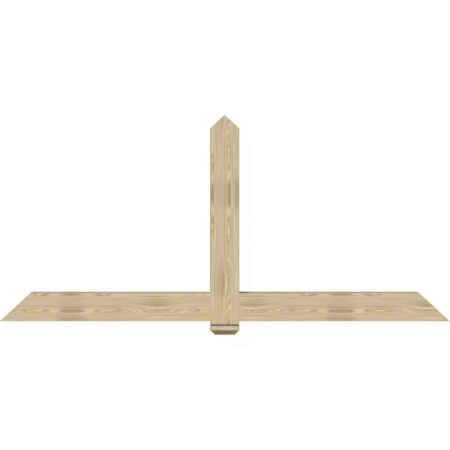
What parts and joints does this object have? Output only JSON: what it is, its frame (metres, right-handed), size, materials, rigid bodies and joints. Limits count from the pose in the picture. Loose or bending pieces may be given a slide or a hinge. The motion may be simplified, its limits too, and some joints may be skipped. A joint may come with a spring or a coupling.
{
  "type": "timber gable bracket",
  "caption": "Open timber gable bracket: a king post, peaked to the roof slopes, crosses a tie beam with slope-cut ends and drops below it to a grooved, chamfered foot.",
  "frame": {"origin": "where the centre lines of the king post and the tie beam cross, on the back face that goes against the gable wall", "axes": "+X along the tie beam, +Y up the king post to the ridge, +Z out of the front faces; the bracket lies on its back"},
  "size_m": [1.3716, 0.6707, 0.0889],
  "materials": {
    "post_timber": "dressed and sanded softwood, unfinished, pale straw to pinkish tan",
    "beam_timber": "dressed and sanded softwood, unfinished, pale straw to pinkish tan"
  },
  "bodies": {
    "root": {"king_post": "post_timber", "tie_beam": "beam_timber"}
  },
  "joints": []
}
